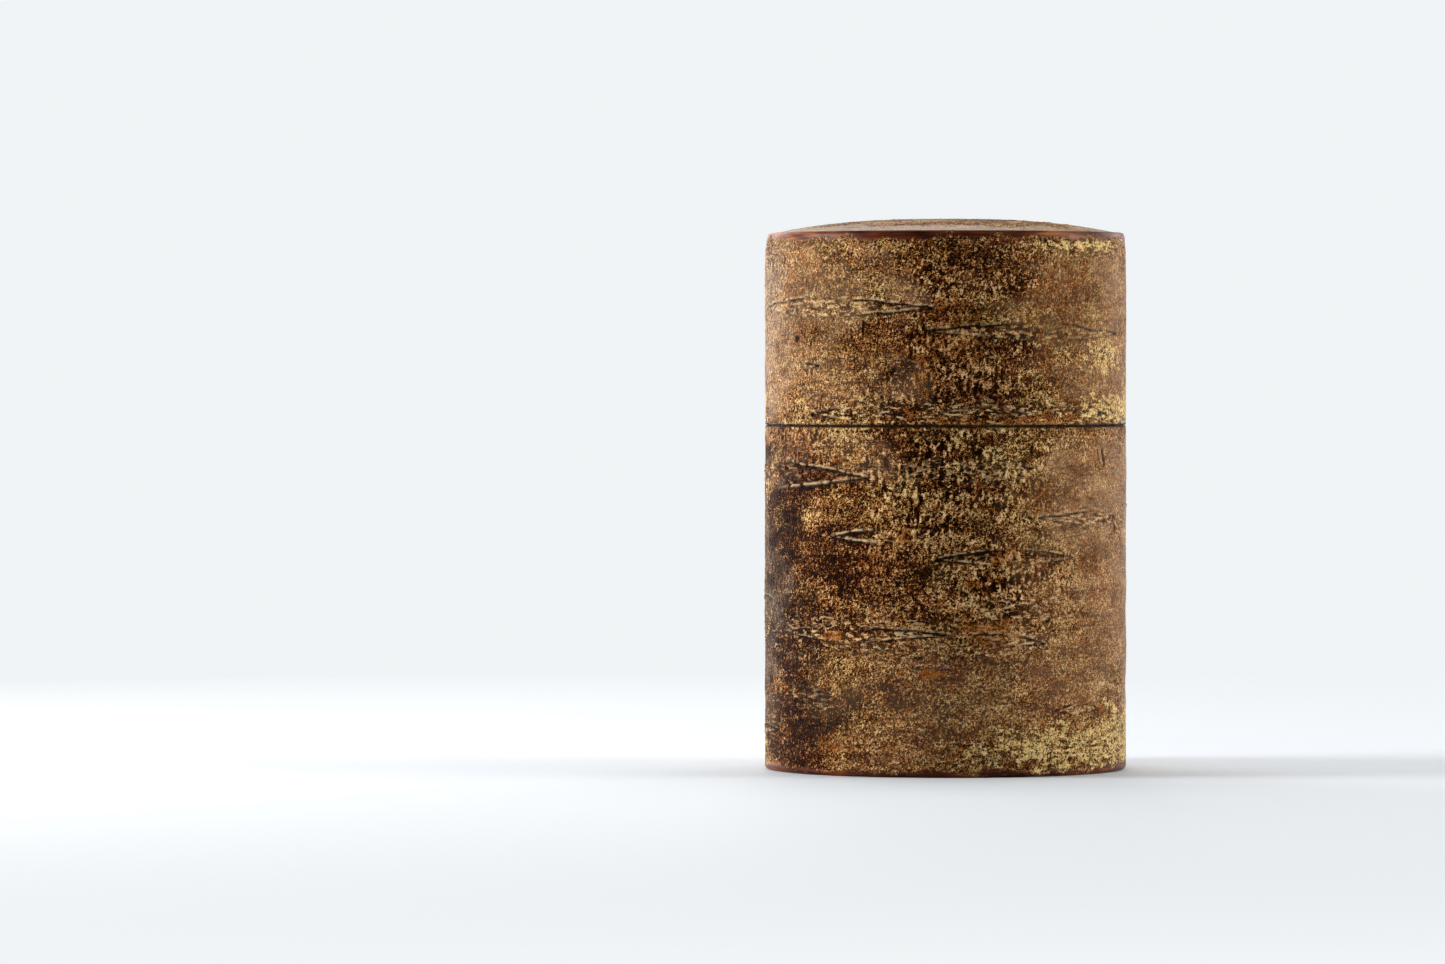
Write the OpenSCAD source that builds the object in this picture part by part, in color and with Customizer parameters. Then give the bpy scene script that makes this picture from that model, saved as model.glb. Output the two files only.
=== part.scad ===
// Tea caddy of wild cherry bark over wound wood veneer: a round body with a raised neck,
// an outer lid that slides down over the neck, and an inner lid that plugs the mouth.
// Millimetres, +Z up, origin at the centre of the base. Everything is turned about Z.

/* [Overall] */
// Outside diameter over the bark
outer_d = 82; // [70:0.5:100]
// Height from the table to the top of the dome
total_h = 125; // [115:0.5:150]
// Height of the line where the lid meets the body
seam_z = 78; // [70:0.5:85]
// Rise of the domed top above the lid's rim
dome_rise = 3.5; // [2:0.1:5]
// Power of the dome's curve: 2 is a plain bowl, and more is flatter in the middle
dome_power = 2.6; // [2:0.1:4]

/* [Wall] */
// Natural bark sheet on the outside
bark_t = 1.2; // [1:0.1:1.6]
// Wound veneer tube under the body's bark
body_core_t = 1.5; // [1.2:0.1:2]
// Polished bark on the outside of the inner tube
sheath_t = 0.5; // [0.4:0.1:0.8]
// Wound veneer inner tube, which stands up as the neck
neck_core_t = 1.4; // [1.2:0.1:2]
// Lining inside the inner tube, which ends in the inner lid's seat
lining_t = 0.8; // [0.6:0.1:1.2]
// Bark lining inside the lid
lid_lining_t = 0.4; // [0.3:0.1:0.6]
// Radius of the polished edge round the base
edge_r = 1.1; // [0.6:0.1:1.1]
// Height over which the lid's bark is scraped thinner below its top edge
scrape_h = 4; // [3:0.5:8]
// How much the bark is scraped away there
scrape_t = 0.5; // [0.2:0.1:0.5]

/* [Neck and lids] */
// Height of the neck above the body
neck_h = 22; // [16:0.5:24]
// Radial gap of the lid on the neck and of the inner lid in the mouth
fit_gap = 0.1; // [0.05:0.01:0.15]
// Whole thickness of the inner lid
inner_lid_t = 3.6; // [3:0.1:4.5]
// Bark faces and edge strip of the inner lid
inner_skin_t = 0.5; // [0.4:0.1:0.7]

/* [Boards and skins] */
// Bark disc under the base
base_bark_t = 0.8; // [0.6:0.1:1.2]
// Wooden base board
base_board_t = 3.5; // [3:0.5:5]
// Lining disc on the floor
floor_lining_t = 0.5; // [0.4:0.1:0.8]
// Domed bark disc on the lid
top_bark_t = 0.9; // [0.7:0.1:1.2]
// Wooden board under the dome, at its rim
top_board_t = 3; // [3:0.5:4]
// Lining disc on the lid's ceiling
ceiling_t = 0.5; // [0.4:0.1:0.8]

/* [Knob] */
// Diameter of the inner lid's knob
knob_d = 15; // [12:0.5:18]
// Height of the knob above the inner lid
knob_h = 7.5; // [6:0.5:8]
// Height of the knob's foot below its waist
foot_h = 0.6; // [0.4:0.1:1]
// Radius of the hollow round the waist
waist_r = 2.2; // [1.8:0.1:2.3]
// How deep that hollow cuts in
waist_cut = 1.6; // [1:0.1:1.8]
// Diameter of the tenon that holds the knob in the board
tenon_d = 5; // [4:0.5:6]

/* [Hidden] */
$fn = 128;
eps = 0.01;

// Radii, from the outside in
outer_r = outer_d / 2;
core_r = outer_r - bark_t;
sheath_r = core_r - body_core_t;
neck_r = sheath_r - sheath_t;
mouth_r = neck_r - neck_core_t;
chamber_r = mouth_r - lining_t;
lid_bore_r = sheath_r + fit_gap;
lid_lining_r = lid_bore_r + lid_lining_t;
inner_lid_r = mouth_r - fit_gap;

// Heights, from the table up
base_z = base_bark_t;
board_z = base_z + base_board_t;
floor_z = board_z + floor_lining_t;
neck_z = seam_z + neck_h;
seat_z = neck_z - inner_lid_t;
rim_z = total_h - dome_rise;
lid_core_z = rim_z - top_bark_t;
top_board_z = lid_core_z - top_board_t;
ceiling_z = top_board_z - ceiling_t;

// Small edges
seam_edge = 0.25;
neck_edge = 0.4;
dome_steps = 24;
knob_dome_r = 16;

// The dome's height above the rim at radius r
function dome(r) = dome_rise * (1 - pow(min(r, lid_lining_r) / lid_lining_r, dome_power));

// A plain tube between two radii and two heights
module tube(r_out, r_in, z_low, z_high) {
    rotate_extrude() translate([r_in, z_low]) square([r_out - r_in, z_high - z_low]);
}

// A flat disc
module disc(r, z_low, z_high) {
    translate([0, 0, z_low]) cylinder(r = r, h = z_high - z_low);
}

// What a round edge takes off a profile's corner: the corner is at the origin,
// the profile lies below and inside it
module round_corner(r) {
    difference() {
        translate([-r, -r]) square([r + eps, r + eps]);
        translate([-r, -r]) circle(r);
    }
}

// What a 45 degree edge takes off the same corner
module bevel_corner(e) {
    polygon([[-e, eps], [eps, eps], [eps, -e]]);
}

// A disc that follows the dome, between two offsets from the rim's height
module domed_disc(r, low, high, flat_bottom) {
    steps = [for (i = [0 : dome_steps]) lid_lining_r * i / dome_steps];
    radii = r > lid_lining_r ? concat(steps, [r]) : steps;
    top = [for (q = radii) [q, high + dome(q)]];
    under = flat_bottom
        ? [[r, low], [0, low]]
        : [for (i = [len(radii) - 1 : -1 : 0]) [radii[i], low + dome(radii[i])]];
    rotate_extrude() polygon(concat(top, under));
}

// ---- Body ----

// Natural bark sheet round the body, rounded and polished at the base
module body_bark() {
    color("#6f5335") rotate_extrude() difference() {
        translate([core_r, 0]) square([bark_t, seam_z]);
        translate([outer_r, 0]) mirror([0, 1]) round_corner(edge_r);
        translate([outer_r, seam_z]) bevel_corner(seam_edge);
    }
}

// Veneer tube that the bark is ironed on to
module body_core() {
    color("#c9a878") tube(core_r, sheath_r, base_z, seam_z);
}

// Polished bark round the inner tube, which shows on the neck
module neck_sheath() {
    color("#6a2d1a") rotate_extrude() difference() {
        translate([neck_r, board_z]) square([sheath_t, neck_z - board_z]);
        translate([sheath_r, neck_z]) bevel_corner(neck_edge);
    }
}

// Inner veneer tube, from the base board to the mouth
module neck_core() {
    color("#b98f5f") tube(neck_r, mouth_r, board_z, neck_z);
}

// Lining of the chamber, whose top edge is the inner lid's seat
module body_lining() {
    color("#8d5a38") tube(mouth_r, chamber_r, floor_z, seat_z);
}

module floor_lining() {
    color("#8d5a38") disc(mouth_r, board_z, floor_z);
}

module base_board() {
    color("#c9a878") disc(sheath_r, base_z, board_z);
}

module base_bark() {
    color("#5f3422") disc(core_r, 0, base_z);
}

// ---- Lid ----

// Natural bark sheet round the lid, scraped thinner and polished towards its top edge
module lid_bark() {
    rim_r = outer_r - scrape_t;
    color("#7a5a3a") rotate_extrude() difference() {
        translate([core_r, seam_z]) square([bark_t, rim_z - seam_z]);
        polygon([[rim_r, rim_z + eps], [rim_r, rim_z], [outer_r, rim_z - scrape_h],
                 [outer_r + eps, rim_z - scrape_h], [outer_r + eps, rim_z + eps]]);
        translate([rim_r, rim_z]) round_corner(bark_t - scrape_t - seam_edge / 2);
        translate([outer_r, seam_z]) mirror([0, 1]) bevel_corner(seam_edge);
    }
}

module lid_core() {
    color("#c9a878") tube(core_r, lid_lining_r, seam_z, lid_core_z);
}

// Bark lining that slides on the neck, eased at the lid's mouth
module lid_lining() {
    color("#7a3a22") rotate_extrude() difference() {
        translate([lid_bore_r, seam_z]) square([lid_lining_t, ceiling_z - seam_z]);
        translate([lid_bore_r, seam_z]) mirror([1, 0]) mirror([0, 1]) bevel_corner(seam_edge);
    }
}

// Wooden disc with a domed top, inside the end of the lid's tube
module lid_top_board() {
    color("#c9a878") domed_disc(lid_lining_r, top_board_z, lid_core_z, true);
}

// Bark sheet pressed over the dome, inside the sleeve's rim
module lid_top_bark() {
    color("#85684a") domed_disc(core_r, lid_core_z, rim_z, false);
}

module lid_ceiling() {
    color("#7a3a22") disc(lid_lining_r, ceiling_z, top_board_z);
}

// ---- Inner lid ----

module inner_lid_board() {
    color("#c9a878") difference() {
        disc(inner_lid_r - inner_skin_t, seat_z + inner_skin_t, neck_z - inner_skin_t);
        disc(tenon_d / 2, seat_z, neck_z);
    }
}

module inner_lid_face() {
    color("#7a3a22") difference() {
        disc(inner_lid_r - inner_skin_t, neck_z - inner_skin_t, neck_z);
        disc(tenon_d / 2, neck_z - 2 * inner_skin_t, neck_z + eps);
    }
}

module inner_lid_back() {
    color("#7a3a22") disc(inner_lid_r - inner_skin_t, seat_z, seat_z + inner_skin_t);
}

// Bark strip round the inner lid's edge
module inner_lid_edge_strip() {
    color("#6a2d1a") rotate_extrude() difference() {
        translate([inner_lid_r - inner_skin_t, seat_z]) square([inner_skin_t, inner_lid_t]);
        translate([inner_lid_r, neck_z]) bevel_corner(seam_edge);
        translate([inner_lid_r, seat_z]) mirror([0, 1]) bevel_corner(seam_edge);
    }
}

// Turned knob with a hollow waist, a domed head, and a tenon down into the board
module inner_lid_knob() {
    top_z = neck_z + knob_h;
    waist_half = sqrt(pow(waist_r, 2) - pow(waist_r - waist_cut, 2));
    color("#5c2517") {
        intersection() {
            difference() {
                disc(knob_d / 2, neck_z, top_z);
                rotate_extrude()
                    translate([knob_d / 2 + waist_r - waist_cut, neck_z + foot_h + waist_half])
                        circle(waist_r);
            }
            translate([0, 0, top_z - knob_dome_r]) sphere(knob_dome_r);
        }
        disc(tenon_d / 2, seat_z + inner_skin_t, neck_z + eps);
    }
}

body_bark();
body_core();
neck_sheath();
neck_core();
body_lining();
floor_lining();
base_board();
base_bark();
lid_bark();
lid_core();
lid_lining();
lid_top_board();
lid_top_bark();
lid_ceiling();
inner_lid_board();
inner_lid_face();
inner_lid_back();
inner_lid_edge_strip();
inner_lid_knob();
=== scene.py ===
"""Looks of a tea caddy: natural cherry bark outside, polished bark and wound veneer inside.

Lengths are in millimetres until a mesh, a light or the camera is made. Angles round the
caddy are in degrees from the front, growing towards +X.
"""
import math
from collections import namedtuple

import bpy
import numpy as np
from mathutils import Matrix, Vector


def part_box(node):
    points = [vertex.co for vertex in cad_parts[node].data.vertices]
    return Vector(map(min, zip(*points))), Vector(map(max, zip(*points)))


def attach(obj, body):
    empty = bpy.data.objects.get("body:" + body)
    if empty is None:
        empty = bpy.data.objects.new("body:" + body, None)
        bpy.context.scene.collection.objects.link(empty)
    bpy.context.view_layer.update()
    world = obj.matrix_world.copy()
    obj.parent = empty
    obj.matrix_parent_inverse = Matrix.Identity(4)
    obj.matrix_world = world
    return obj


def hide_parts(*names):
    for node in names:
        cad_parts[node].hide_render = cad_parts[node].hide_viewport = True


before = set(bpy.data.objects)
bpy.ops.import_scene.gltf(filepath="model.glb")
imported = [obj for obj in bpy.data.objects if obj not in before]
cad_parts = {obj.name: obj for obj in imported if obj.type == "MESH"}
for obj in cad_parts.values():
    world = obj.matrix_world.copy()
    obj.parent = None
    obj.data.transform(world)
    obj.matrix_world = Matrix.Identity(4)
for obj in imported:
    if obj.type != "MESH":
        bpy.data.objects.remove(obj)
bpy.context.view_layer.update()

MM = 0.001


# ---- Sizes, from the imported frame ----

def top_of(node):
    """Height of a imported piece's top in mm."""
    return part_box(node)[1].z / MM


def radius_of(node):
    """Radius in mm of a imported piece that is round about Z."""
    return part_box(node)[1].x / MM


OUTER_R = radius_of("body_bark")
SLEEVE_R = radius_of("body_core")
SEAM_Z = top_of("body_bark")
RIM_Z = top_of("lid_bark")
DOME_Z = top_of("lid_top_bark")
BOARD_R = radius_of("lid_top_board")
TOP_T = RIM_Z - top_of("lid_core")
ROUND = 2 * math.pi * OUTER_R

EDGE_R = 1.1          # round of the base edge
SEAM_EDGE = 0.3       # small round of the two edges that meet at the seam
SEAM_GAP = 0.05       # each edge stops this far from the seam's middle
SCRAPE_H = 4.5        # the lid's bark is scraped thinner over this height
SCRAPE_T = 0.5        # and by this much at the rim
RIM_ROUND = 0.68      # round of the rim's corner, across
RIM_DROP = 1.3        # and down
DOME_POWER = 2.6      # the dome's curve: 2 is a bowl, more is flatter in the middle
DOME_SINK = 0.35      # in the middle, the dome's mean surface is this far under the CAD's
POLISH_TOP = 1.5      # height of the polished band under the rim
POLISH_BASE = 1.2     # height of the polished band at the base
RUBBED_RING = 14      # width of the worn ring at the dome's edge, which fades inwards; its pale tan is partly a painted reflection

AROUND = 900          # points round the caddy
STEP = ROUND / AROUND
ROWS = int(math.ceil(RIM_Z / STEP)) + 2
DISC_POINTS = 241     # points across the dome's sheet
RELIEF_SPAN = 0.28    # depth of relief that the colours run over, dark in the pits and light on the crests, partly painted shade and highlight
SHEET_SEED, DISC_SEED = 41, 5


# ---- The bark sheet: where its marks are ----

# A scar is a lens-shaped lenticel scar, long across the bark and pointed at both ends.
# tilt is how much higher its right end lies than its left. left and right say how sharply the
# bark has split along that end, and lip how strongly its raised edge shows with a painted
# highlight along it: 0 is not at all, 1 is plainly, 2 is strongly.
Scar = namedtuple("Scar", "angle z half_angle half_height tilt left right lip", defaults=(0.5,))

FRONT_SCARS = [
    Scar(-43.5, 104.4, 38.5, 2.2, -0.2, 0.6, 0.9, 1.2),
    Scar(30, 98.9, 38, 1.9, -0.4, 0.8, 0.6),
    Scar(-55, 91.3, 9.5, 0.9, 0.2, 0.3, 0.8),
    Scar(-32, 80.5, 17, 1.2, -0.2, 0.9, 0.1),
    Scar(11, 80.7, 14, 1.0, 0.0, 0.4, 0.8),
    Scar(52, 80.5, 10, 1.0, -0.5, 0.1, 0.7),
    Scar(-70, 66.9, 43.5, 3.1, -1.0, 0.3, 1.2, 2.2),
    Scar(-20, 53.4, 20, 1.6, 0.2, 1.1, 0.1, 2.2),
    Scar(19, 48.6, 24, 1.8, 0.2, 1.4, 0.6, 0.7),
    Scar(56, 57.0, 28, 1.6, -0.8, 0.8, 0.2),
    Scar(-32, 31.6, 31, 1.7, 0.3, 0.5, 1.0),
    Scar(19, 30.6, 12, 1.1, -2.2, 0.5, 1.0, 1.4),
    Scar(45, 14.8, 10, 1.3, 0.2, 0.6, 0.5),
    Scar(20, 68.8, 7, 0.5, -0.6, 0.4, 0.6),
    Scar(-1, 69.0, 13, 0.5, 0.1, 0.2, 0.2),
    Scar(-62, 18.3, 22, 1.5, -0.3, 0.2, 0.2),
    Scar(-47, 6.3, 12, 0.7, 0.2, 0.1, 0.1),
    Scar(-6, 24.3, 6, 0.35, 0.0, 0.6, 0.5),
]
BACK_SCARS = 16       # scars strewn over the side away from the front

# Soft patches of one character: angle, height, half angle, half height, strength. coarse is
# coarser and deeper grain, dark is deeper brown and, on the body's left, in the middle of the
# front and round the back, painted shade, smooth is calmer colour and, on the right flank, partly
# painted sheen, flaky is crumbs of loose skin, bloom is a soft pale film and, at the two
# outlines, painted sheen, rust and amber are red and orange spots, pale is worn lighter bark and,
# on the lit flanks, painted light, and lichen is pale crusts.
PATCHES = {
    "coarse": [
        (-90, 60, 14, 70, 0.7), (90, 60, 12, 70, 0.6), (2, 112, 20, 7, 0.6), (1, 92, 25, 9, 1.0),
        (-50, 109, 24, 7, 0.5), (-44, 90, 20, 6, 0.4), (-2, 66, 30, 12, 1.0), (-8, 56, 24, 8, 0.8),
        (-46, 73, 20, 5, 0.8), (18, 43, 20, 8, 1.0), (-30, 42, 24, 9, 0.5), (-35, 84, 16, 4, 0.5),
        (160, 60, 40, 30, 0.9), (-150, 95, 30, 16, 0.8), (-120, 30, 25, 14, 0.6),
    ],
    # the dark patches on the body's left, in the middle of the front and round the back are painted
    # shade
    "dark": [
        (6, 112, 18, 9, 1.0), (3, 90, 26, 11, 1.1), (-66, 38, 34, 30, 1.5), (-68, 14, 24, 16, 1.6),
        (-50, 11, 20, 10, 1.9), (-55, 67, 17, 3.4, 2.3), (-86, 36, 30, 34, 2.2), (180, 60, 62, 90, 0.8),
        (-72, 50, 18, 24, 1.4), (14, 44, 20, 6, 0.6), (-30, 47, 26, 12, 0.8), (-5, 68, 34, 10, 0.6),
        (170, 50, 30, 24, 0.7), (-130, 100, 26, 12, 0.6), (115, 20, 18, 14, 0.4),
    ],
    # the smooth patches on the right flank are partly painted sheen: calmer, paler colour where light
    # washes the bark
    "smooth": [
        (50, 106, 28, 15, 1.0), (58, 88, 22, 12, 0.8), (54, 60, 26, 18, 0.8), (52, 36, 32, 20, 0.6),
        (20, 14, 60, 12, 0.3), (100, 60, 30, 70, 0.7), (-60, 108, 24, 12, 0.3), (50, 20, 30, 16, 0.5),
    ],
    "flaky": [
        (-22, 31, 52, 5, 0.75), (12, 80.8, 62, 2.4, 1.0), (22, 36, 18, 4, 0.8), (56, 56, 26, 3, 0.6),
        (-36, 81, 22, 3, 0.7), (-60, 17, 24, 4, 0.4), (48, 4, 40, 4, 0.5), (-54, 105, 30, 3, 0.4),
        (52, 118, 22, 2, 1.0), (2, 68, 30, 2, 0.6), (150, 60, 30, 5, 0.8), (-140, 30, 36, 5, 0.8),
        (180, 96, 40, 4, 0.7), (110, 82, 24, 3, 0.8),
    ],
    # the bloom patches at the left and right outlines are painted sheen, where light grazes the bark
    "bloom_and_sheen": [
        (-96, 38, 26, 34, 0.6), (-88, 102, 24, 22, 1.0), (94, 50, 18, 44, 0.7), (150, 100, 16, 14, 0.5),
    ],
    "rust": [
        (-72, 100, 14, 5, 0.9), (-55, 97.5, 4, 1.6, 0.9), (-30, 95, 14, 4, 0.5),
        (-55, 67.0, 18, 3.2, 2.2), (-55, 74, 16, 3, 0.7), (45, 68.3, 3.6, 1.3, 1.0),
        (43, 34.2, 3.2, 1.6, 1.0), (-20, 47, 12, 4, 0.5), (-44, 5.5, 16, 2.6, 0.7),
        (12, 86, 10, 5, 0.5), (40, 106, 12, 5, 0.5), (30, 48, 10, 1.6, 0.7), (62, 57.3, 8, 1.5, 0.6),
        (66, 16, 14, 2.5, 0.6), (-38, 38, 8, 2, 0.4), (48, 3, 30, 2.5, 0.6), (140, 84, 14, 3, 0.8),
        (-160, 40, 12, 4, 0.7), (120, 105, 12, 3, 0.6),
    ],
    "amber": [
        (-14, 53.2, 2.8, 1.0, 1.0), (-6, 23.0, 3.6, 1.0, 1.0), (7, 42.9, 2.6, 1.2, 0.9),
        (-12, 81, 2.6, 1.0, 1.0), (-39, 31.0, 7, 1.2, 0.9), (12, 32.5, 8, 2.5, 0.7),
        (14, 48.6, 5, 1.2, 0.8), (-9, 88, 5, 5, 0.6), (0, 98, 10, 6, 0.5), (-66, 18.8, 8, 1.2, 0.9),
        (-42, 6.5, 6, 1.4, 0.8), (22, 79.6, 20, 1.2, 0.7), (-26, 48, 4, 2, 0.6), (58, 15, 5, 1.5, 0.6),
        (150, 70, 4, 1.4, 0.9), (-140, 60, 6, 1.5, 0.8), (-170, 20, 5, 1.5, 0.8),
        (100, 44, 3, 1.2, 0.9),
    ],
    # the pale patches on the left and right flanks are partly painted light
    "pale": [
        (70, 109, 15, 11, 0.8), (66, 92, 24, 9, 0.6), (-55, 108, 30, 12, 0.8), (-66, 90, 24, 9, 0.8),
        (60, 62, 28, 13, 1.0), (66, 40, 26, 16, 0.6), (84, 46, 14, 44, 1.0), (45, 24, 30, 9, 0.5),
        (-40, 88, 26, 7, 0.65), (-46, 72, 22, 6, 0.5), (50, 66, 20, 10, 0.7), (-30, 69, 14, 4, 0.4),
        (-5, 18, 40, 14, 0.35), (100, 70, 26, 40, 0.6), (-100, 90, 20, 20, 0.5),
        (-165, 75, 20, 14, 0.6),
    ],
    "lichen": [
        (36, 6.4, 28, 5.4, 1.0), (62, 7.4, 30, 5.6, 1.0), (76, 9.0, 20, 7, 1.0), (59, 94, 11, 4.2, 1.0),
        (66, 81.5, 26, 3.2, 0.9), (16, 72.4, 12, 2.6, 0.55), (46, 118.3, 20, 1.3, 1.1),
        (86, 84, 12, 5, 0.9), (110, 12, 24, 8, 0.8), (-120, 66, 12, 6, 0.8), (170, 104, 16, 5, 0.8),
        (-1, 22, 10, 3, 0.3), (-30, 26, 12, 3, 0.2),
    ],
}

RAGGED = ("lichen", "amber", "rust", "flaky")    # the patches with finer, rougher edges

# Patches of the dome's own flat sheet: tone, how rough their edges are, how big the edges'
# lobes are, and their places. Height there is how far back a place lies from the front edge,
# and angle is how far right of the middle it lies, as if it were measured round the wall.
DISC_PATCHES = [
    ("coarse", 0.25, 8, [(-20, 50, 24, 20, 0.9), (30, 20, 20, 14, 0.7)]),
    ("dark", 0.25, 8, [(10, 40, 30, 12, 0.5)]),
    ("smooth", 0.25, 8, [(-16, 60, 20, 14, 0.6)]),
    ("flaky", 0.3, 2.2, [(-10, 30, 34, 4, 0.8), (16, 62, 30, 4, 0.7)]),
    ("bloom_and_sheen", 0.25, 8, [(-30, 40, 16, 14, 0.5)]),
    ("rust", 0.3, 2.2, [(-30, 26, 12, 3, 0.7), (24, 58, 14, 3, 0.6)]),
    ("amber", 0.3, 2.2, [(-12, 62, 5, 1.6, 0.9), (36, 34, 5, 1.4, 0.8)]),
    ("pale", 0.2, 8, [(0, 41, 60, 42, 0.6)]),
    ("lichen", 0.3, 2.2, [(-34, 58, 10, 6, 0.7), (20, 10, 16, 4, 0.6)]),
]
DISC_SCARS = [
    Scar(-14, 52, 26, 2.0, 1.0, 0.9, 1.0),
    Scar(26, 30, 22, 1.6, -0.8, 1.0, 0.8),
    Scar(-34, 22, 14, 1.2, 0.4, 0.8, 0.7),
    Scar(10, 68, 18, 1.0, 0.2, 0.7, 0.9),
    Scar(-6, 12, 12, 0.8, 0.1, 0.8, 0.6),
]

# Knots: angle, height, radius. Cracks run up the bark: angle, height, half height, width.
KNOTS = [(32, 34.4, 3.4), (-56, 97.4, 1.6), (150, 88, 3.0), (-115, 48, 2.6)]
CRACKS = [
    (58, 70.8, 2.6, 0.30), (55, 71.5, 1.6, 0.20), (-27.5, 100.4, 1.6, 0.22), (60, 50, 2.0, 0.15),
    (66, 55.4, 1.6, 0.18), (26, 72.6, 1.2, 0.2), (130, 36, 3.0, 0.3), (-135, 80, 2.6, 0.25),
]


# ---- Noise ----

def soft_step(low, high, x):
    """0 at low and 1 at high, easing between them. low may be the larger of the two."""
    t = np.clip((x - low) / (high - low), 0, 1)
    return t * t * (3 - 2 * t)


def blur_noise(rng, shape, size_across, size_up, hollow=0.0):
    """Noise that repeats at its sides, with blobs of about that size in grid steps, and a
    mean of 0 and a spread of 1. hollow takes out what is broader than the blobs."""
    up = np.fft.fftfreq(shape[0])[:, None] * size_up
    across = np.fft.rfftfreq(shape[1])[None, :] * size_across
    squared = up ** 2 + across ** 2
    keep = np.exp(-squared * math.pi ** 2 / 8) - hollow * np.exp(-squared * math.pi ** 2 / 2)
    made = np.fft.irfft2(np.fft.rfft2(rng.standard_normal(shape)) * keep, shape)
    return (made - made.mean()) / made.std()


def crackle(rng, x, y, across):
    """Cells of size 1 over x and y, repeating after `across` of them along x. Gives how far
    each point is from its cell's border, and the cell's own number from 0 to 1."""
    up = int(math.ceil(y.max())) + 4
    y = y + 1.5
    seed_x, seed_y = rng.uniform(0.1, 0.9, (2, up, across))
    own = rng.random((up, across))
    cell_x, cell_y = np.floor(x).astype(int), np.floor(y).astype(int)
    near = np.full(x.shape, 9.0)
    next_near = near.copy()
    number = np.zeros(x.shape)
    for dy in (-1, 0, 1):
        for dx in (-1, 0, 1):
            row = np.clip(cell_y + dy, 0, up - 1)
            column = (cell_x + dx) % across
            gap_x = cell_x + dx + seed_x[row, column] - x
            gap_y = cell_y + dy + seed_y[row, column] - y
            gap = np.hypot(gap_x, gap_y)
            nearest = gap < near
            next_near = np.where(nearest, near, np.minimum(next_near, gap))
            number = np.where(nearest, own[row, column], number)
            near = np.where(nearest, gap, near)
    return next_near - near, number


def turned(angle):
    """An angle brought between -180 and 180."""
    return (angle + 180) % 360 - 180


# ---- The bark sheet: its relief and its tones, on one grid round the whole caddy ----

class Bark:
    """Height above the mean surface in mm, and tones, over a grid of rows (height) and
    columns (angle). A tone is 0 where its character is absent and about 1 where it is plain."""

    def __init__(self, rng, rows, columns, step):
        self.rng = rng
        self.shape = (rows, columns)
        self.step = step
        self.z = (np.arange(rows) * step)[:, None] + np.zeros(columns)
        self.angle = turned(np.arange(columns) * 360 / columns) + np.zeros((rows, 1))
        self.across = np.arange(columns) * step + np.zeros((rows, 1))
        self.tones = {}

    def noise(self, across, up, hollow=0.0):
        """blur_noise with blobs of about that many mm across and up the bark."""
        return blur_noise(self.rng, self.shape, across / self.step, up / self.step, hollow)

    def cells(self, size, tall, warp):
        """crackle with cells of about size mm, tall times as high, with wavy borders."""
        count = round(self.shape[1] * self.step / size)
        width = self.shape[1] * self.step / count
        x = self.across / width + warp / size * self.noise(2 * size, 2 * size)
        y = np.maximum(self.z / (size * tall) + warp / size * self.noise(2 * size, 2 * size), -1)
        return crackle(self.rng, x, y, count)

    def patch(self, places, rough, blob):
        """Soft patches with ragged edges; the strongest wins where two meet."""
        edge = self.noise(blob * 1.6, blob, 0.3) * rough
        edge = edge + self.noise(blob * 0.4, blob * 0.3) * rough * 0.5
        found = np.zeros(self.shape)
        for angle, z, half_angle, half_height, strength in places:
            away = np.hypot(turned(self.angle - angle) / half_angle, (self.z - z) / half_height)
            found = np.maximum(found, strength * soft_step(1.35, 0.55, away + edge))
        return found


def grain(bark):
    """The bark's skin: small pits with thin crests between them, fine all over, and coarser
    and deeper in the coarse patches."""
    fine_gap, fine_own = bark.cells(0.85, 1.0, 0.30)
    coarse_gap, coarse_own = bark.cells(1.35, 1.25, 0.50)
    dust = bark.noise(0.6, 0.6, 0.8)
    specks = bark.noise(1.0, 0.9, 0.9)
    waves = bark.noise(1.1, 2.6, 0.9)
    fine_pits = soft_step(0.05, 0.36, fine_gap) * soft_step(0.35, 0.85, fine_own)
    coarse_pits = soft_step(0.06, 0.34, coarse_gap) * soft_step(0.40, 0.80, coarse_own)
    fine = 0.60 * dust + 0.30 * specks - 1.3 * (fine_pits - 0.25)
    coarse = 0.40 * dust + 0.45 * waves + 0.20 * specks - 1.9 * (coarse_pits - 0.3)
    rough = bark.tones["coarse"]
    bark.tones["speckle"] = fine_own * (1 - rough) + coarse_own * rough
    local = (0.042 * fine * (1 - rough) + 0.078 * coarse * rough) * (1 - 0.45 * bark.tones["pale"])
    return local + 0.010 * bark.noise(9, 0.6, 0.6)


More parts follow.
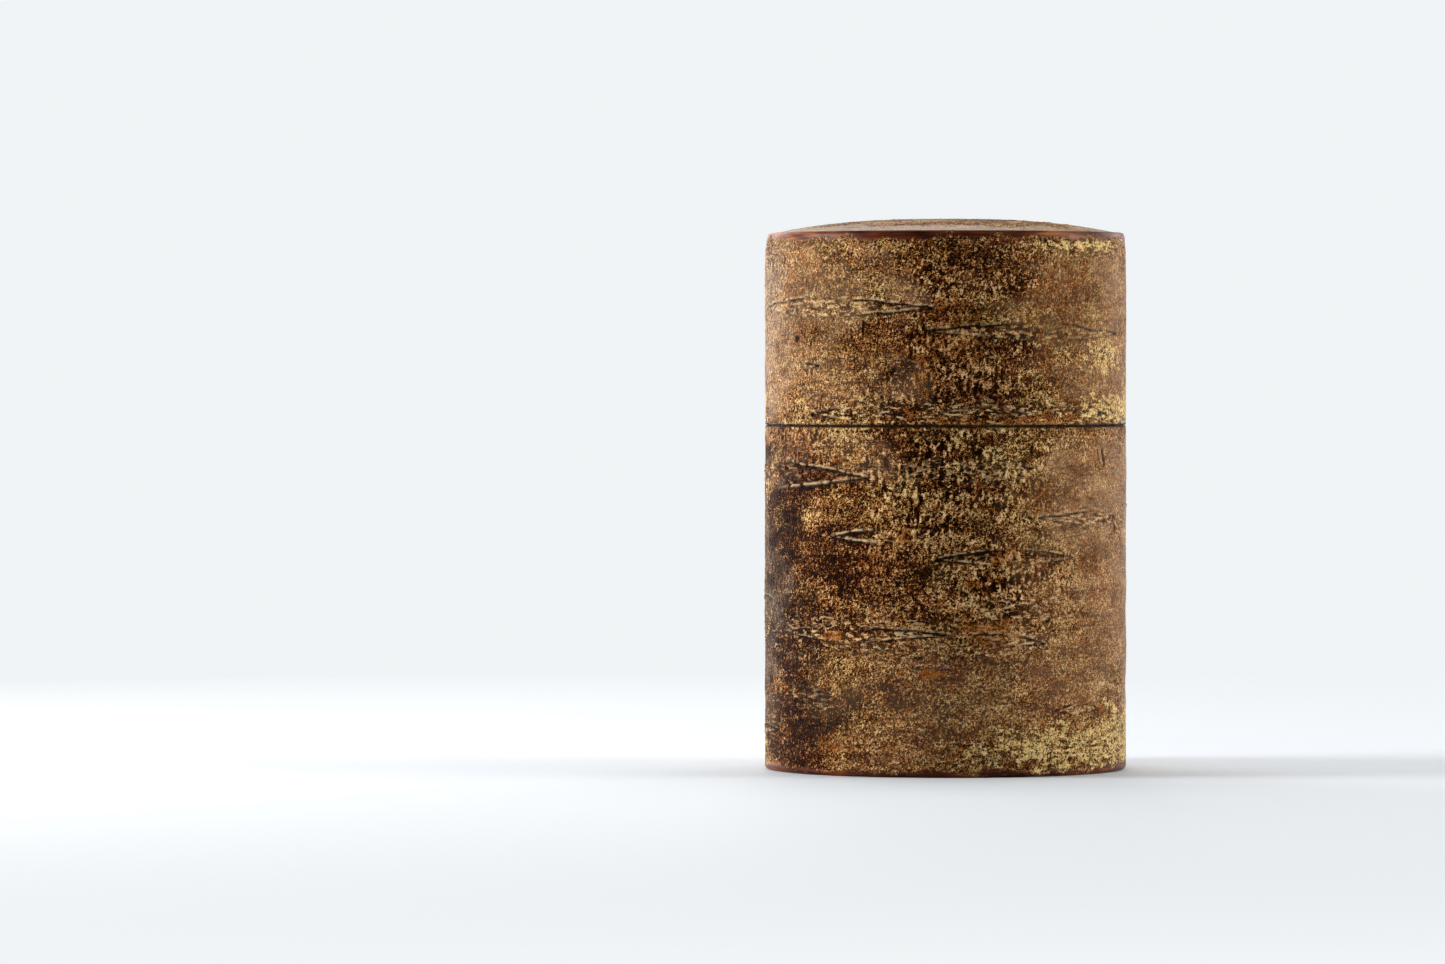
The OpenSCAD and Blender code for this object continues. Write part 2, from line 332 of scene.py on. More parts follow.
def add_scar(bark, scar, wobble, flakes, crumbs):
    """Raises ragged flakes inside the lens, and splits the bark along its outline, with a groove
    above and raised lips. The groove and the opening along the outline are painted near black, as the
    open bark's dark and as painted shade, and the lips light, as a painted highlight."""
    s = turned(bark.angle - scar.angle) / scar.half_angle
    inside = np.abs(s) < 1
    half = scar.half_height * np.where(inside, 1 - np.abs(s) ** 1.4, 0) * (1 + 0.05 * wobble)
    middle = scar.z + scar.tilt * s / 2 + 0.05 * wobble * scar.half_height
    above = bark.z - middle - half
    below = middle - half - bark.z
    sharp = np.where(s < 0, scar.left, scar.right) * soft_step(0.08, 0.45, np.abs(s))
    crisp = np.clip(sharp * (1 + 0.35 * flakes) - 0.1 + 0.15 * np.clip(flakes, 0, 1), 0, 1.2) * inside
    crisp = crisp * soft_step(1.0, 0.98, np.abs(s))
    open_by = 0.13 + 0.08 * sharp
    split_above = np.exp(-(above / open_by) ** 2) * crisp
    split_below = np.exp(-((below - 0.06) / (0.8 * open_by)) ** 2) * crisp
    broken = soft_step(-0.9, 0.5, crumbs)
    lip_above = np.exp(-((above - 0.43) / 0.16) ** 2) * crisp * broken * scar.lip
    lip_below = np.exp(-((below + 0.34) / 0.16) ** 2) * crisp * broken * scar.lip
    heart = soft_step(0.15, -0.35, np.maximum(above, below)) * inside
    bark.height += (heart * (0.01 + 0.09 * flakes) - 0.45 * split_above - 0.30 * split_below
                    + 0.20 * lip_above + 0.20 * lip_below)
    tones = bark.tones
    tones["heart"] = np.maximum(tones["heart"], heart)
    # the groove and the split painted near black: the open bark's dark and painted shade
    split_and_shade = np.clip(1.5 * split_above + 0.8 * split_below, 0, 1)
    tones["split_and_shade"] = np.maximum(tones["split_and_shade"], split_and_shade)
    # painted highlight: the light line along the raised lips
    lip = np.clip(1.4 * lip_above + 1.4 * lip_below, 0, 1) * (1 - tones["split_and_shade"])
    tones["lip"] = np.maximum(tones["lip"], lip)


def add_knot(bark, angle, z, radius):
    """A small healed knot: a dark eye with rings round it."""
    across = np.radians(turned(bark.angle - angle)) * OUTER_R
    away = np.hypot(across, bark.z - z) + 0.25 * bark.noise(1.8, 1.8)
    fade = soft_step(radius * 1.2, radius * 0.5, away)
    eye = np.exp(-(away / 0.6) ** 2)
    bark.height += fade * (0.08 * np.cos(away * 2 * math.pi / 0.95) - 0.35 * eye)
    # the sunken eye painted near black, partly painted shade
    bark.tones["split_and_shade"] = np.maximum(bark.tones["split_and_shade"], 0.6 * eye)


def add_crack(bark, angle, z, half_height, width, wobble):
    """A dark crack that runs up the bark."""
    across = np.radians(turned(bark.angle - angle)) * OUTER_R + 0.35 * wobble
    cut = np.exp(-(across / width) ** 2) * soft_step(1.0, 0.6, np.abs(bark.z - z) / half_height)
    bark.height -= 0.4 * cut
    # the crack painted near black, partly painted shade
    bark.tones["split_and_shade"] = np.maximum(bark.tones["split_and_shade"], cut)


def add_splice(bark):
    """At the back, one end of the sheet laps thinly over the other."""
    edge = np.radians(turned(bark.angle - 180)) * OUTER_R + 0.25 * bark.noise(6, 7)
    lap = np.exp(-np.clip(edge, 0, None) / 3.0) * (edge > 0)
    groove = np.exp(-((edge + 0.1) / 0.2) ** 2)
    bark.height += 0.14 * lap - 0.22 * groove
    # the groove painted near black, partly painted shade
    bark.tones["split_and_shade"] = np.maximum(bark.tones["split_and_shade"], 0.8 * groove)


def back_scars(rng):
    """Scars strewn from side to side round the back, one to each band of height."""
    found = []
    for number in range(BACK_SCARS):
        found.append(Scar(
            turned(rng.uniform(92, 268)),
            8 + (number + rng.uniform(0, 0.9)) * (RIM_Z - 14) / BACK_SCARS,
            rng.uniform(8, 34), rng.uniform(0.6, 2.0), rng.uniform(-0.8, 0.8),
            rng.uniform(0.3, 1), rng.uniform(0.3, 1)))
    return found


def lay_skin(bark):
    """The grain, before any scar, with no scar tones yet."""
    for tone in ("heart", "split_and_shade", "lip"):
        bark.tones[tone] = np.zeros(bark.shape)
    bark.height = grain(bark)
    bark.skin = bark.height.copy()


def sleeve_bark():
    """The bark of the body and the lid, which were one sheet before the caddy was cut."""
    bark = Bark(np.random.default_rng(SHEET_SEED), ROWS, AROUND, STEP)
    for tone, places in PATCHES.items():
        rough, blob = (0.30, 2.2) if tone in RAGGED else (0.22, 7.0)
        bark.tones[tone] = bark.patch(places, rough, blob)
    lay_skin(bark)
    wobble = bark.noise(7, 9)
    flakes = bark.noise(1.9, 0.9, 0.5)
    crumbs = bark.noise(1.6, 0.7, 0.6)
    bark.height += 0.06 * bark.tones["flaky"] * bark.noise(2.6, 0.8, 0.7)
    for scar in FRONT_SCARS + back_scars(bark.rng):
        add_scar(bark, scar, wobble, flakes, crumbs)
    for knot in KNOTS:
        add_knot(bark, *knot)
    for crack in CRACKS:
        add_crack(bark, *crack, wobble)
    add_splice(bark)
    return bark


def disc_bark():
    """The flat sheet pressed over the dome, cut from another piece of the same bark."""
    rows = int(math.ceil(2 * OUTER_R / STEP)) + 2
    bark = Bark(np.random.default_rng(DISC_SEED), rows, rows, STEP)
    bark.angle = np.degrees((bark.across - OUTER_R) / OUTER_R)
    for tone, rough, blob, places in DISC_PATCHES:
        bark.tones[tone] = bark.patch(places, rough, blob)
    lay_skin(bark)
    wobble = bark.noise(9, 12)
    flakes = bark.noise(2.2, 0.9, 0.5)
    crumbs = bark.noise(1.6, 0.7, 0.6)
    for scar in DISC_SCARS:
        add_scar(bark, scar, wobble, flakes, crumbs)
    return bark


# ---- Meshes ----

TONES = (
    "speckle", "dark", "smooth", "flaky", "bloom_and_sheen", "rust", "amber", "pale", "lichen",
    "heart", "split_and_shade", "lip",
)
Skin = namedtuple("Skin", "points faces uv values")


def make_piece(name, skin, material, body, *stands_for):
    """A smooth mesh with a value of each tone at every point. skin.uv has one corner pair
    for each face corner."""
    mesh = bpy.data.meshes.new(name)
    quads = np.asarray(skin.faces, dtype=np.int32)
    mesh.vertices.add(len(skin.points))
    mesh.vertices.foreach_set("co", (skin.points * MM).astype(np.float32).ravel())
    mesh.loops.add(quads.size)
    mesh.loops.foreach_set("vertex_index", quads.ravel())
    mesh.polygons.add(len(quads))
    mesh.polygons.foreach_set("loop_start", np.arange(0, quads.size, 4, dtype=np.int32))
    mesh.update(calc_edges=True)
    mesh.polygons.foreach_set("use_smooth", np.ones(len(quads), dtype=bool))
    mesh.uv_layers.new(name="OFBake").data.foreach_set("uv", skin.uv.astype(np.float32).ravel())
    for tone, values in skin.values.items():
        stored = mesh.attributes.new(tone, "FLOAT", "POINT")
        stored.data.foreach_set("value", values.astype(np.float32).ravel())
    mesh.validate()
    piece = bpy.data.objects.new(name, mesh)
    bpy.context.scene.collection.objects.link(piece)
    mesh.materials.append(material)
    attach(piece, body)
    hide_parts(*stands_for)


def arc(centre_r, centre_z, across, start, end, steps, up=None):
    """Points of a round or oval edge in the (r, z) plane, from one angle in degrees to another."""
    turns = np.radians(np.linspace(start, end, steps))
    return [(centre_r + across * math.cos(t), centre_z + (up or across) * math.sin(t)) for t in turns]


def wall(low, high):
    """Heights along a bark wall, about a grid step apart."""
    return np.linspace(low, high, int(round((high - low) / STEP)) + 1)


def scraped_r(z):
    """Outer radius of the lid's bark, which is scraped thinner near the rim."""
    return OUTER_R - SCRAPE_T * soft_step(RIM_Z - SCRAPE_H, RIM_Z, z)


def body_profile():
    """(r, z) points from inside the base, round the base edge, up the wall and over the seam
    edge to the inside."""
    return ([(SLEEVE_R, 0)]
            + arc(OUTER_R - EDGE_R, EDGE_R, EDGE_R, -90, 0, 9)
            + [(OUTER_R, z) for z in wall(EDGE_R, SEAM_Z - SEAM_GAP - SEAM_EDGE)[1:]]
            + arc(OUTER_R - SEAM_EDGE, SEAM_Z - SEAM_GAP - SEAM_EDGE, SEAM_EDGE, 0, 90, 4)[1:]
            + [(SLEEVE_R, SEAM_Z - SEAM_GAP)])


def lid_profile():
    """The same for the lid, from the inside at the seam up to the rim."""
    corner_z = RIM_Z - RIM_DROP
    corner_r = float(scraped_r(corner_z)) - RIM_ROUND
    return ([(SLEEVE_R, SEAM_Z + SEAM_GAP)]
            + arc(OUTER_R - SEAM_EDGE, SEAM_Z + SEAM_GAP + SEAM_EDGE, SEAM_EDGE, -90, 0, 4)
            + [(float(scraped_r(z)), z) for z in wall(SEAM_Z + SEAM_GAP + SEAM_EDGE, corner_z)[1:-1]]
            + arc(corner_r, corner_z, RIM_ROUND, 0, 90, 9, RIM_DROP)
            + [(SLEEVE_R, RIM_Z)])


def shade(skin, height):
    """How deep the colour is: dark in low places and light on high ones, partly the bark's own colour
    and partly painted shade and highlight. All of the skin's own relief counts, and less of the scars'.
    """
    return np.clip(0.5 + (0.6 * skin + 0.4 * height) / RELIEF_SPAN, 0, 1)


def polish_at(bark_z, noise):
    """1 in the polished bands at the rim and the base, which end raggedly."""
    top = soft_step(RIM_Z - POLISH_TOP - 0.7, RIM_Z - POLISH_TOP + 0.5, bark_z + 0.55 * noise)
    base = soft_step(POLISH_BASE + 0.7, POLISH_BASE - 0.5, bark_z + 0.45 * noise)
    return np.maximum(top, base)


def sleeve(bark, profile):
    """A closed tube of bark: the profile turned round Z, pushed out by the bark's height,
    with the inner wall left plain."""
    r, z = (np.array(column)[:, None] for column in zip(*profile))
    row = np.clip(z[:, 0] / STEP, 0, ROWS - 1.001)
    low = row.astype(int)
    share = (row - low)[:, None]

    def at_rows(field):
        return field[low] * (1 - share) + field[low + 1] * share

    values = {tone: at_rows(bark.tones[tone]) for tone in TONES}
    values["rubbed_and_reflection"] = np.zeros_like(values["dark"])
    height = at_rows(bark.height)
    polish = polish_at(z, at_rows(bark.edge_noise)) * (1 - 0.85 * values["lichen"])
    facing = soft_step(SLEEVE_R, OUTER_R - SCRAPE_T, r)
    off_seam = soft_step(0.0, 0.5, np.abs(z - SEAM_Z))
    lift = (height + 0.05 * at_rows(bark.form)) * (1 - 0.93 * polish) * facing
    lift = lift * (0.35 + 0.65 * off_seam) - 0.1 * facing * (1 - polish)
    values["polish"] = polish
    values["relief"] = shade(at_rows(bark.skin), height)
    # painted shade: a dark line in the gap at the seam
    values["split_and_shade"] = np.maximum(values["split_and_shade"], 0.95 * soft_step(0.55, 0.2, np.abs(z - SEAM_Z)))
    turn = np.arange(AROUND) * 2 * math.pi / AROUND
    out = r + lift
    points = np.stack([out * np.sin(turn), -out * np.cos(turn), z + 0 * out], axis=-1)
    faces, uv = tube_faces(len(profile), AROUND)
    return Skin(points.reshape(-1, 3), faces, uv, values)


def tube_faces(rows, columns):
    """Quads of a tube whose last row joins its first, with a UV map of the whole square. The
    joining wall, which is hidden, gets a thin strip."""
    hidden = 0.02
    row, column = np.meshgrid(np.arange(rows), np.arange(columns), indexing="ij")
    next_row, next_column = (row + 1) % rows, (column + 1) % columns
    quads = np.stack([row * columns + column, row * columns + next_column,
                      next_row * columns + next_column, next_row * columns + column], axis=-1)
    low = np.where(row < rows - 1, row / (rows - 1) * (1 - hidden), 1 - hidden)
    high = np.where(row < rows - 1, (row + 1) / (rows - 1) * (1 - hidden), 1.0)
    left, right = column / columns, (column + 1) / columns
    uv = np.stack([left, low, right, low, right, high, left, high], axis=-1)
    return quads.reshape(-1, 4), uv.reshape(-1, 4, 2)


def dome(r, sink=0.0):
    """Height of the dome above the rim, sunk that far in the middle."""
    return (DOME_Z - sink - RIM_Z) * (1 - np.minimum(r / BOARD_R, 1) ** DOME_POWER)


def disc_grid(count):
    """A square grid pulled on to the unit disc, with even cells."""
    a, b = np.meshgrid(np.linspace(-1, 1, count), np.linspace(-1, 1, count))
    wide = np.abs(a) > np.abs(b)
    radius = np.where(wide, a, b)
    safe = np.where(radius == 0, 1, radius)
    turn = np.where(wide, math.pi / 4 * b / safe, math.pi / 2 - math.pi / 4 * a / safe)
    return radius * np.cos(turn), radius * np.sin(turn)


def domed_top(bark):
    """The bark disc over the dome: a top with relief, a plain underside and a rim between."""
    count = DISC_POINTS
    x, y = (SLEEVE_R * part for part in disc_grid(count))
    r = np.hypot(x, y)
    row = np.clip((y + OUTER_R) / STEP, 0, bark.shape[0] - 2)
    column = np.clip((x + OUTER_R) / STEP, 0, bark.shape[1] - 2)
    low, left = row.astype(int), column.astype(int)
    up, right = row - low, column - left

    def at_points(field):
        return ((field[low, left] * (1 - right) + field[low, left + 1] * right) * (1 - up)
                + (field[low + 1, left] * (1 - right) + field[low + 1, left + 1] * right) * up)

    values = {tone: at_points(bark.tones[tone]) for tone in TONES}
    height = at_points(bark.height)
    edge = soft_step(SLEEVE_R, SLEEVE_R - 0.5, r)
    border = soft_step(SLEEVE_R - 1.0, SLEEVE_R - 0.4, r)
    # the worn ring, painted pale tan in natural_bark, partly a painted reflection
    rubbed_and_reflection = soft_step(SLEEVE_R - RUBBED_RING, SLEEVE_R - 1.5, r + 1.6 * at_points(bark.form))
    worn = np.maximum(0.5 * rubbed_and_reflection, border)
    values["polish"] = 0.8 * border
    values["rubbed_and_reflection"] = rubbed_and_reflection
    values["relief"] = shade(at_points(bark.skin), height)
    top = RIM_Z + dome(r, DOME_SINK) + height * edge * (1 - worn)
    under = RIM_Z - TOP_T + dome(r)
    sides = [np.stack([x, y, side], axis=-1).reshape(-1, 3) for side in (top, under)]
    points = np.concatenate(sides)
    values = {tone: np.concatenate([field.ravel()] * 2) for tone, field in values.items()}
    cells = np.arange(count * count).reshape(count, count)
    corners = [cells[:-1, :-1], cells[:-1, 1:], cells[1:, 1:], cells[1:, :-1]]
    sheet = np.stack(corners, axis=-1).reshape(-1, 4)
    rim = np.concatenate([cells[0, :-1], cells[:-1, -1], cells[-1, :0:-1], cells[:0:-1, 0]])
    after = np.roll(rim, -1)
    below = count * count
    skirt = np.stack([rim + below, after + below, after, rim], axis=-1)
    faces = np.concatenate([sheet, sheet[:, ::-1] + below, skirt])
    flat = np.stack([x.ravel(), y.ravel()], axis=-1) / (2 * SLEEVE_R) + 0.5
    flat = np.concatenate([flat * (0.98, 0.98) + 0.01, flat * 0.02])
    return Skin(points, faces, flat[faces], values)


# ---- Materials ----

PLY = 0.3                             # thickness of one ply of the wound veneer
SHEET_SHEEN, SHEET_GLOSS = 0.1, 0.03
DOME_SHEEN, DOME_GLOSS = 0.05, 0.012  # lower, as the dome turned white in low views


def rgb(red, green, blue):
    """A colour given as the eye sees it, 0 to 255, in the shader's linear values."""
    linear = []
    for part in (red / 255, green / 255, blue / 255):
        linear.append(part / 12.92 if part <= 0.04045 else ((part + 0.055) / 1.055) ** 2.4)
    return linear + [1.0]


class Look:
    """A material built from short calls. Those for a value or a colour return its socket."""

    def __init__(self, name):
        self.material = bpy.data.materials.new(name)
        self.material.use_nodes = True
        self.tree = self.material.node_tree
        self.shader = self.tree.nodes["Principled BSDF"]
        self.place = self.add("TexCoord").outputs["Object"]

    def add(self, kind, inputs=(), **settings):
        """A new node with those settings, whose inputs are set or linked."""
        made = self.tree.nodes.new("ShaderNode" + kind)
        for name, value in settings.items():
            setattr(made, name, value)
        for key, value in dict(inputs).items():
            self.put(made.inputs[key], value)
        return made

    def put(self, socket, value):
        if isinstance(value, bpy.types.NodeSocket):
            self.tree.links.new(value, socket)
        else:
            socket.default_value = value

    def give(self, name, value):
        """Sets one of the shader's own inputs."""
        self.put(self.shader.inputs[name], value)

    def tone(self, name):
        """A tone that make_piece stored at the mesh's points."""
        return self.add("Attribute", attribute_name=name).outputs["Fac"]

    def sum(self, a, b):
        return self.add("Math", {0: a, 1: b}, operation="ADD").outputs[0]

    def times(self, a, b, clamp=False):
        return self.add("Math", {0: a, 1: b}, operation="MULTIPLY", use_clamp=clamp).outputs[0]

    def less(self, a, b):
        """a without b, held between 0 and 1."""
        return self.add("Math", {0: a, 1: b}, operation="SUBTRACT", use_clamp=True).outputs[0]

    def apart(self, a, b):
        """How far the value a is from the number b."""
        return self.add("Math", {0: self.sum(a, -b)}, operation="ABSOLUTE").outputs[0]

    def fit(self, value, low, high, to_low=0.0, to_high=1.0):
        """value brought from one range to another, and held inside it."""
        ranges = {0: value, 1: low, 2: high, 3: to_low, 4: to_high}
        return self.add("MapRange", ranges, clamp=True).outputs[0]

    def mix(self, share, a, b):
        """The colour a where share is 0, and b where it is 1."""
        made = self.add("Mix", data_type="RGBA")
        for index, value in ((0, share), (6, a), (7, b)):
            self.put(made.inputs[index], value)
        return made.outputs[2]

    def ramp(self, share, *stops):
        """Colours that follow one another as share grows past each stop's position."""
        made = self.add("ValToRGB", {0: share})
        places = made.color_ramp.elements
        while len(places) < len(stops):
            places.new(1.0)
        for element, (position, colour) in zip(places, stops):
            element.position = position
            element.color = colour
        return made.outputs[0]

    def noise(self, size, detail, rough=0.55, stretch=(1, 1, 1)):
        """Noise with blobs of about size mm; stretch makes them longer along an axis."""
        shrunk = [1 / part for part in stretch]
        scaled = self.add("Mapping", {"Vector": self.place, "Scale": shrunk}).outputs[0]
        settings = {"Vector": scaled, "Scale": 1 / (size * MM), "Detail": detail, "Roughness": rough}
        return self.add("TexNoise", settings).outputs[0]

    def bump(self, height, depth, strength):
        """depth is how many mm the height's 0 to 1 stands for."""
        made = self.add("Bump", {"Height": height, "Distance": depth * MM, "Strength": strength})
        self.give("Normal", made.outputs[0])


class Grain:
    """The noises that the bark's colour, gloss and bump share, from fine to broad."""

    def __init__(self, look):
        self.fine = look.noise(0.27, 2.5, 0.7)
        self.curl = look.noise(0.95, 2.0, 0.5, (1, 1, 1.3))
        self.flake = look.noise(0.85, 2.5, 0.6, (2.4, 2.4, 0.8))
        self.streak = look.noise(1.0, 2.0, 0.6, (9, 9, 0.8))
        self.mottle = look.noise(2.6, 3.0, 0.6)
        self.broad = look.noise(13, 4.0, 0.6, (1.6, 1.6, 0.8))
        # thin light lines on the crests: painted glints, also used in the bump
        thin = look.fit(look.apart(self.curl, 0.5), 0.008, 0.034, 1.0, 0.0)
        self.crest_glint = look.times(thin, look.fit(self.mottle, 0.40, 0.52))


def bark_depth(look, grain):
    """From 0 in the pits to 1 on the crests, for the colour: dark in the pits, partly painted shade,
    and light on the crests, partly painted highlight. Dark places lie deeper, smooth ones are flatter.
    """
    pits = look.fit(look.noise(0.58, 1.0), 0.425, 0.375)
    cloud = look.noise(5, 2.0, 0.6, (1.8, 1.8, 0.7))
    depth = look.sum(look.tone("relief"), look.times(look.sum(grain.fine, -0.5), 2.15))
    depth = look.sum(depth, look.times(pits, -0.41))
    depth = look.sum(depth, look.times(look.sum(cloud, -0.5), 0.62))
    # painted glints: the crest lines lighten the colour
    depth = look.sum(depth, look.times(grain.crest_glint, 0.30))
    depth = look.sum(depth, look.times(look.sum(look.tone("speckle"), -0.5), 0.18))
    depth = look.sum(depth, look.times(look.sum(grain.streak, -0.5), 0.18))
    # the dark tone lowers the colour; on the body's left, in the middle of the front and round the back
    # it is painted shade
    dark = look.tone("dark")
    depth = look.times(look.sum(depth, -0.5), look.fit(dark, 0, 1, 1.32, 1.5))
    depth = look.times(depth, look.fit(look.tone("smooth"), 0, 1, 1.0, 0.74))
    return look.sum(depth, look.fit(dark, 0, 2.5, 0.5, 0.0))


def skin_colour(look, grain, depth):
    """Warm and olive browns in drifts, with paler, calmer and redder places. The ramps run from near
    black in the pits to cream on the crests, partly painted shade and highlight.
    """
    warm = look.ramp(
        depth, (0.24, rgb(14, 3, 1)), (0.37, rgb(60, 22, 3)), (0.50, rgb(112, 54, 14)),
        (0.63, rgb(150, 86, 30)), (0.78, rgb(190, 131, 62)), (0.96, rgb(238, 204, 150)))
    olive = look.ramp(
        depth, (0.24, rgb(14, 5, 2)), (0.37, rgb(58, 29, 5)), (0.50, rgb(108, 64, 18)),
        (0.63, rgb(146, 98, 37)), (0.78, rgb(186, 141, 70)), (0.96, rgb(236, 207, 150)))
    red = look.ramp(depth, (0.25, rgb(30, 9, 3)), (0.5, rgb(96, 44, 16)), (0.8, rgb(156, 94, 46)))
    hue = look.sum(grain.broad, look.times(look.sum(grain.mottle, -0.5), 0.9))
    hue = look.sum(hue, look.times(look.tone("dark"), -0.10))
    colour = look.mix(look.fit(hue, 0.38, 0.62), warm, olive)
    # the colour for the pale tone: worn lighter bark and, on the lit flanks, painted light
    worn = look.mix(0.35, warm, rgb(196, 160, 126))
    colour = look.mix(look.times(look.tone("pale"), 0.55), colour, worn)
    # the calm colour for the smooth tone, on the right flank partly painted sheen
    calm = look.mix(look.fit(grain.mottle, 0.4, 0.6), rgb(148, 106, 70), rgb(172, 142, 106))
    colour = look.mix(look.times(look.tone("smooth"), 0.22), colour, calm)
    ember = look.fit(look.noise(1.7, 2.0, 0.6, (1.4, 1.4, 0.9)), 0.55, 0.64)
    rust = look.times(look.tone("rust"), look.fit(grain.mottle, 0.38, 0.60, 0.35, 1.0))
    rust = look.sum(rust, look.times(ember, 0.65))
    return look.mix(look.times(rust, 0.65, True), colour, red)


def add_marks(look, grain, depth, colour):
    """Crumbs, a pale film that at the outlines is painted sheen, amber spots, lichen, and the scars'
    lips in a painted highlight and their splits near black, partly painted shade, over the skin.
    """
    fine, flake = grain.fine, grain.flake
    crumbly = look.sum(look.tone("flaky"), look.times(look.tone("heart"), 0.35))
    low_flakes = look.times(crumbly, look.fit(flake, 0.47, 0.41, 0.0, 0.8), True)
    high_flakes = look.times(crumbly, look.fit(flake, 0.57, 0.63, 0.0, 0.8), True)
    colour = look.mix(low_flakes, colour, rgb(44, 17, 6))
    colour = look.mix(high_flakes, colour, rgb(222, 190, 142))
    # pale streaks of the bloom tone: a pale film, and at the outlines painted sheen
    hatch = look.sum(look.noise(0.8, 3.0, 0.7, (1, 1, 2.2)), look.times(grain.curl, 0.5))
    bloom_and_sheen = look.times(look.tone("bloom_and_sheen"), look.fit(hatch, 0.58, 0.92, 0.04, 0.62))
    colour = look.mix(bloom_and_sheen, colour, look.ramp(
        fine, (0.30, rgb(58, 42, 32)), (0.48, rgb(146, 122, 100)), (0.66, rgb(226, 208, 184))))
    amber = look.times(look.tone("amber"), look.fit(depth, 0.2, 0.42))
    colour = look.mix(look.times(amber, 0.85), colour, look.ramp(
        fine, (0.3, rgb(104, 44, 8)), (0.5, rgb(158, 84, 24)), (0.7, rgb(204, 136, 60))))
    ragged = look.sum(look.times(flake, 2.4), look.times(grain.mottle, 1.2))
    patchy = look.fit(look.sum(look.tone("lichen"), look.sum(ragged, -2.05)), 0.48, 0.56)
    lichen = look.times(patchy, look.fit(depth, 0.26, 0.42))
    raised = look.sum(fine, look.times(look.sum(look.tone("relief"), -0.5), 0.8))
    colour = look.mix(look.times(lichen, 0.9), colour, look.ramp(
        raised, (0.32, rgb(84, 48, 14)), (0.44, rgb(184, 142, 72)), (0.60, rgb(242, 210, 142))))
    # painted highlight: the light line along the scars' lips
    colour = look.mix(look.times(look.tone("lip"), 0.8), colour, rgb(230, 200, 156))
    # near black in the splits, cracks, knot eyes, the splice groove and the seam's gap: partly painted
    # shade
    return look.mix(look.tone("split_and_shade"), colour, rgb(20, 9, 4))


def natural_bark(name, sheen, gloss):
    """Wild cherry bark with its outer skin left on, polished at the rim and the base and worn
    in a ring round the dome, whose pale tan is partly a painted reflection. sheen is its glow at the
    outline and gloss its shine."""
    look = Look(name)
    grain = Grain(look)
    polish, unsplit = look.tone("polish"), look.fit(look.tone("split_and_shade"), 0.0, 1.0, 1.0, 0.0)
    depth = bark_depth(look, grain)
    colour = add_marks(look, grain, depth, skin_colour(look, grain, depth))
    polished = look.ramp(
        look.sum(grain.streak, look.times(look.sum(grain.broad, -0.5), 0.8)),
        (0.30, rgb(36, 13, 7)), (0.48, rgb(70, 30, 14)),
        (0.62, rgb(102, 48, 21)), (0.80, rgb(150, 86, 40)))
    colour = look.mix(look.times(polish, unsplit), colour, polished)
    ragged = look.times(look.sum(look.sum(grain.flake, grain.mottle), -1.0), 0.8)
    rubbed_and_reflection = look.fit(look.sum(look.tone("rubbed_and_reflection"), ragged), 0.30, 0.90)
    rubbed_and_reflection = look.times(rubbed_and_reflection, look.fit(look.tone("rubbed_and_reflection"), 0.0, 0.25))
    # the pale tan of the worn ring on the dome is partly a painted reflection
    tan = look.mix(look.fit(grain.fine, 0.34, 0.66), rgb(104, 74, 50), rgb(208, 178, 144))
    look.give("Base Color", look.mix(look.times(rubbed_and_reflection, 0.60), colour, tan))
    rough = look.sum(look.fit(depth, 0.2, 0.9, 0.62, 0.36), look.times(rubbed_and_reflection, 0.2))
    rough = look.times(rough, look.fit(polish, 0, 1, 1.0, 0.0))
    look.give("Roughness", look.sum(rough, look.times(polish, 0.30)))
    look.give("Specular IOR Level", gloss)
    look.give("Specular Tint", rgb(255, 220, 185))
    look.give("Sheen Weight", sheen)
    look.give("Sheen Roughness", 0.12)
    look.give("Sheen Tint", rgb(255, 236, 224))
    look.give("Coat Weight", look.sum(look.times(polish, 0.15), look.times(rubbed_and_reflection, 0.36)))
    look.give("Coat Roughness", 0.35)
    bump = look.sum(look.sum(grain.fine, look.times(grain.streak, 0.3)), look.times(grain.crest_glint, 0.35))
    level = look.fit(look.sum(polish, look.times(rubbed_and_reflection, 0.4)), 0, 1, 1.0, 0.12)
    look.bump(look.times(bump, level), 0.32, 1.0)
    return look.material


def polished_bark():
    """Inner cherry bark scraped smooth and polished, with its short level lenticels."""
    look = Look("polished_bark")
    band = look.noise(1.6, 3.0, 0.6, (14, 14, 0.7))
    dash = look.noise(0.9, 2.0, 0.5, (8, 8, 0.8))
    broad = look.noise(16, 2.0, 0.5, (1.5, 1.5, 0.7))
    colour = look.ramp(
        look.sum(band, look.times(look.sum(broad, -0.5), 0.5)),
        (0.30, rgb(58, 18, 10)), (0.46, rgb(98, 34, 17)),
        (0.60, rgb(132, 54, 26)), (0.78, rgb(158, 82, 42)))
    marks = look.fit(dash, 0.62, 0.70)
    colour = look.mix(look.times(marks, 0.7), colour, rgb(196, 132, 78))
    look.give("Base Color", colour)
    look.give("Roughness", look.fit(band, 0.3, 0.7, 0.48, 0.34))
    look.give("Coat Weight", 0.2)
    look.give("Coat Roughness", 0.25)
    look.bump(look.sum(look.times(marks, 0.5), look.times(band, 0.4)), 0.05, 0.6)
    return look.material


def lining_bark():
    """Plain inner bark, satin."""
    look = Look("lining_bark")
    band = look.noise(1.2, 4.0, 0.6, (12, 12, 0.8))
    fine = look.noise(0.35, 2.0, 0.6)
    colour = look.ramp(
        band, (0.30, rgb(104, 54, 30)), (0.50, rgb(138, 80, 46)), (0.72, rgb(168, 108, 68)))
    look.give("Base Color", look.mix(look.times(fine, 0.3), colour, rgb(96, 52, 32)))
    look.give("Roughness", look.fit(fine, 0.3, 0.7, 0.42, 0.58))
    look.bump(look.sum(band, look.times(fine, 0.5)), 0.06, 0.6)
    return look.material


